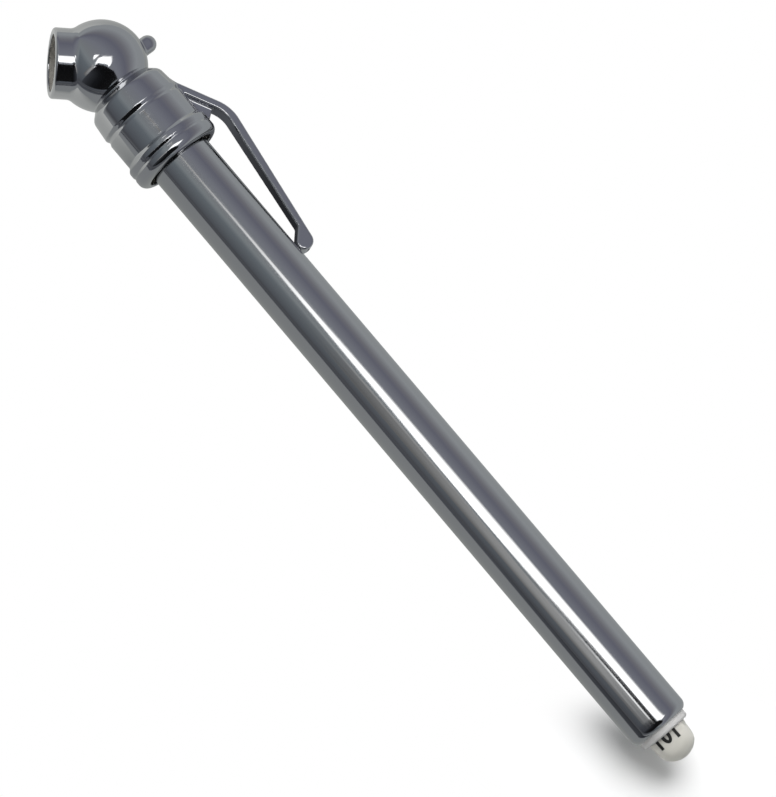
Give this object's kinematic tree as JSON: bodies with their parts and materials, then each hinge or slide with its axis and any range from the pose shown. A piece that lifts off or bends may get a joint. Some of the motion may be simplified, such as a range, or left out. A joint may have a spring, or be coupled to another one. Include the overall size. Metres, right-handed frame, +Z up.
{
  "type": "pencil tire pressure gauge",
  "caption": "Pencil gauge for tire pressure: angled chuck with deflator nub and pocket clip, plated barrel, and a sliding bar pushed out by a spring-loaded piston.",
  "frame": {"origin": "middle of the chuck's mouth, where the tire valve goes in", "axes": "+X along the barrel to the bar's tip, +Y to the clip's side, +Z up with the gauge lying on its side; XY is its plane of symmetry"},
  "size_m": [0.1382, 0.0193, 0.0138],
  "materials": {
    "chrome_plate": "bright chrome plate on zinc and brass",
    "nylon": "natural white nylon, slightly translucent",
    "bar_plastic": "white moulded bar with black printed scale",
    "rubber": "smooth black rubber",
    "brass": "turned brass",
    "fibre": "red vulcanised fibre",
    "spring_steel": "oiled music wire",
    "aluminium": "plain aluminium",
    "acetal": "white acetal",
    "steel": "bright steel"
  },
  "bodies": {
    "barrel": {"head_casting": "chrome_plate", "barrel_tube": "chrome_plate", "end_bushing": "nylon", "chuck_gasket": "rubber", "pin_spider": "brass", "depressor_pin": "brass", "barrel_seal": "fibre", "spring_stop_washer": "steel", "calibrated_spring": "spring_steel"},
    "piston": {"piston_body": "acetal", "piston_cup": "rubber", "cup_expander": "spring_steel", "cup_washer": "brass", "cup_rivet": "aluminium", "spring_seat": "steel"},
    "bar": {"indicator_bar": "bar_plastic"}
  },
  "joints": [
    {"name": "piston_slide", "type": "slide", "parent": "barrel", "child": "piston", "axis": [1, 0, 0], "range_m": [0, 0.048], "stiffness_N_per_m": 437, "deforming": ["calibrated_spring"]},
    {"name": "bar_slide", "type": "slide", "parent": "barrel", "child": "bar", "axis": [1, 0, 0], "range_m": [0, 0.048]}
  ],
  "couplings": [
    {"joint": "bar_slide", "follows": "piston_slide", "ratio": 1}
  ]
}
